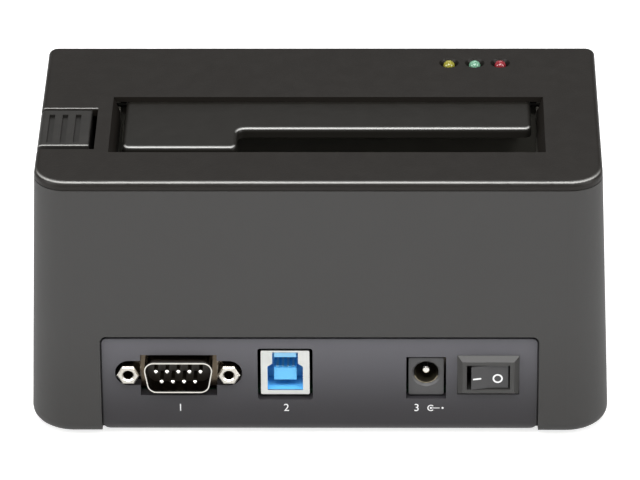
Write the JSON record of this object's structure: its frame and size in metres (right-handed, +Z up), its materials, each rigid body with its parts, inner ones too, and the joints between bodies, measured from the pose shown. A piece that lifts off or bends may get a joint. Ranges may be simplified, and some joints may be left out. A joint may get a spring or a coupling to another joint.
{
  "type": "hard drive docking station",
  "caption": "Desktop docking station for bare hard drives: top slot with hinged flap, eject button and lever, drive connector, rear ports and power switch.",
  "frame": {"origin": "middle of the footprint, on the surface that the four feet stand on", "axes": "+X to the right as seen from the port side, -Y out of the port side, +Y out of the side with display and keys, +Z up"},
  "size_m": [0.144, 0.0793, 0.0716],
  "materials": {
    "shell_plastic": "fine grained charcoal",
    "cover_plastic": "satin black",
    "well_plastic": "plain black",
    "flap_plastic": "satin black",
    "button_plastic": "satin black",
    "panel_plastic": "smooth grey",
    "fascia_plastic": "smooth black",
    "key_plastic": "satin",
    "clear_plastic": "smoked clear",
    "display_glass": "grey-green",
    "display_metal": "folded tin plate",
    "rubber": "matte",
    "steel": "plain steel",
    "screw_steel": "dark zinc",
    "nickel": "bright nickel plate",
    "usb_metal": "satin plate",
    "contact_gold": "gold plated",
    "usb_blue": "blue",
    "port_black": "black",
    "jack_plastic": "dark grey",
    "rocker_plastic": "black",
    "board_green": "solder mask",
    "chip_black": "moulded package",
    "sink_metal": "extruded",
    "capacitor_can": "can with dark base",
    "ferrite": "pressed ferrite",
    "ribbon": "flat cable",
    "light_yellow": "tinted lens",
    "light_green": "tinted lens",
    "light_red": "tinted lens"
  },
  "bodies": {
    "dock": {"main_shell": "shell_plastic", "top_cover": "cover_plastic", "drive_well": "well_plastic", "flap_pin": "steel", "flap_springs": "steel", "eject_spring": "steel", "lever_pin": "steel", "base_tray": "shell_plastic", "rubber_feet": "rubber", "rear_panel": "panel_plastic", "serial_shell": "nickel", "serial_body": "port_black", "serial_pins": "contact_gold", "serial_nuts": "nickel", "usb_shell": "usb_metal", "usb_insulator": "usb_blue", "usb_contacts": "contact_gold", "jack_body": "jack_plastic", "jack_contacts": "nickel", "switch_body": "port_black", "switch_terminals": "nickel", "main_board": "board_green", "heat_sink": "sink_metal", "board_chips": "chip_black", "board_capacitors": "capacitor_can", "board_coils": "ferrite", "sata_board": "board_green", "sata_receptacle": "port_black", "sata_contacts": "contact_gold", "link_blocks": "port_black", "link_pins": "contact_gold", "front_header": "port_black", "front_pins": "contact_gold", "front_board": "board_green", "front_fascia": "fascia_plastic", "display_window": "clear_plastic", "display_frame": "display_metal", "display_glass": "display_glass", "tact_switches": "chip_black", "led_board": "board_green", "led_leads": "steel", "led_header": "port_black", "light_ribbon": "ribbon", "case_screws": "screw_steel", "board_screws": "screw_steel", "well_screws": "screw_steel", "sata_screws": "screw_steel", "led_screws": "screw_steel", "front_screws": "screw_steel", "led_yellow": "light_yellow", "led_green": "light_green", "led_red": "light_red"},
    "flap": {"slot_flap": "flap_plastic"},
    "button": {"eject_button": "button_plastic"},
    "lever": {"eject_lever": "well_plastic"},
    "rocker": {"switch_rocker": "rocker_plastic"},
    "key_cap_1": {"key_1": "key_plastic"},
    "key_cap_2": {"key_2": "key_plastic"},
    "key_cap_3": {"key_3": "key_plastic"},
    "key_cap_4": {"key_4": "key_plastic"}
  },
  "joints": [
    {"name": "slot_flap_turn", "type": "hinge", "parent": "dock", "child": "flap", "pos_m": [0, 0.0102, 0.06825], "axis": [1, 0, 0], "range_deg": [0, 90], "stiffness_Nm_per_rad": 0.004, "springref_deg": -20.05},
    {"name": "eject_button_slide", "type": "slide", "parent": "dock", "child": "button", "axis": [0, 0, -1], "range_m": [0, 0.0045], "stiffness_N_per_m": 300, "springref_m": -0.003, "deforming": ["eject_spring"]},
    {"name": "eject_lever_turn", "type": "hinge", "parent": "dock", "child": "lever", "pos_m": [-0.046, -0.0073, 0.0195], "axis": [0, -1, 0], "range_deg": [0, 16.2]},
    {"name": "power_switch_rock", "type": "hinge", "parent": "dock", "child": "rocker", "pos_m": [0.04195, -0.03564, 0.01745], "axis": [0, 0, -1], "range_deg": [0, 12]},
    {"name": "key_1_press", "type": "slide", "parent": "dock", "child": "key_cap_1", "axis": [0, -0.9993, -0.0364], "range_m": [0, 0.0005], "stiffness_N_per_m": 800, "springref_m": -0.0004},
    {"name": "key_2_press", "type": "slide", "parent": "dock", "child": "key_cap_2", "axis": [0, -0.9993, -0.0364], "range_m": [0, 0.0005], "stiffness_N_per_m": 800, "springref_m": -0.0004},
    {"name": "key_3_press", "type": "slide", "parent": "dock", "child": "key_cap_3", "axis": [0, -0.9993, -0.0364], "range_m": [0, 0.0005], "stiffness_N_per_m": 800, "springref_m": -0.0004},
    {"name": "key_4_press", "type": "slide", "parent": "dock", "child": "key_cap_4", "axis": [0, -0.9993, -0.0364], "range_m": [0, 0.0005], "stiffness_N_per_m": 800, "springref_m": -0.0004}
  ],
  "couplings": [
    {"joint": "eject_lever_turn", "follows": "eject_button_slide", "rad_per_m": 62.5}
  ]
}
